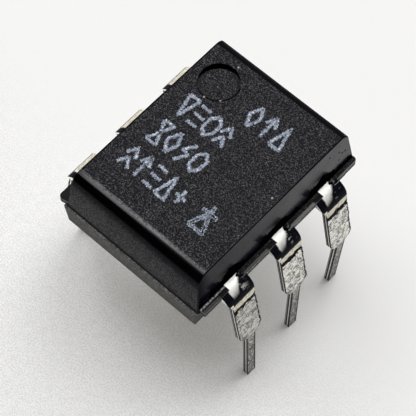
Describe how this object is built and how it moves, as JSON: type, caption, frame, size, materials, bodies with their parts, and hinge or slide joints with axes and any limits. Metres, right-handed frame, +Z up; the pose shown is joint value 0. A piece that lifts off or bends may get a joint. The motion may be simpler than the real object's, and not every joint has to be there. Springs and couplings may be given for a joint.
{
  "type": "optocoupler",
  "caption": "Black moulded optocoupler in a dual in-line package: splayed tinned leads with shoulders and narrow tails, a lead 1 dimple, and the light-coupled dice sealed inside.",
  "frame": {"origin": "middle of the plane that the six lead tips stand on, midway between the two lead rows", "axes": "+Z up out of the marked top face, Y along the body and the lead rows with lead 1 at the +Y end of the -X row, X across the rows"},
  "size_m": [0.0092, 0.0085, 0.0082],
  "materials": {
    "black_epoxy": "matte",
    "light_guide_resin": "satin",
    "tinned_lead": "satin",
    "die": "gloss",
    "die_attach": "satin",
    "bond_wire": "polished"
  },
  "bodies": {
    "root": {"moulded_body": "black_epoxy", "light_guide": "light_guide_resin", "lead_1": "tinned_lead", "lead_2": "tinned_lead", "lead_3": "tinned_lead", "lead_4": "tinned_lead", "lead_5": "tinned_lead", "lead_6": "tinned_lead", "driver_chip": "die", "emitter_die": "die", "detector_chip": "die", "driver_chip_attach": "die_attach", "emitter_die_attach": "die_attach", "detector_chip_attach": "die_attach", "wire_driver_supply": "bond_wire", "wire_driver_ground": "bond_wire", "wire_driver_input": "bond_wire", "wire_emitter": "bond_wire", "wire_detector_ground": "bond_wire", "wire_detector_supply": "bond_wire", "wire_detector_output": "bond_wire"}
  },
  "joints": []
}
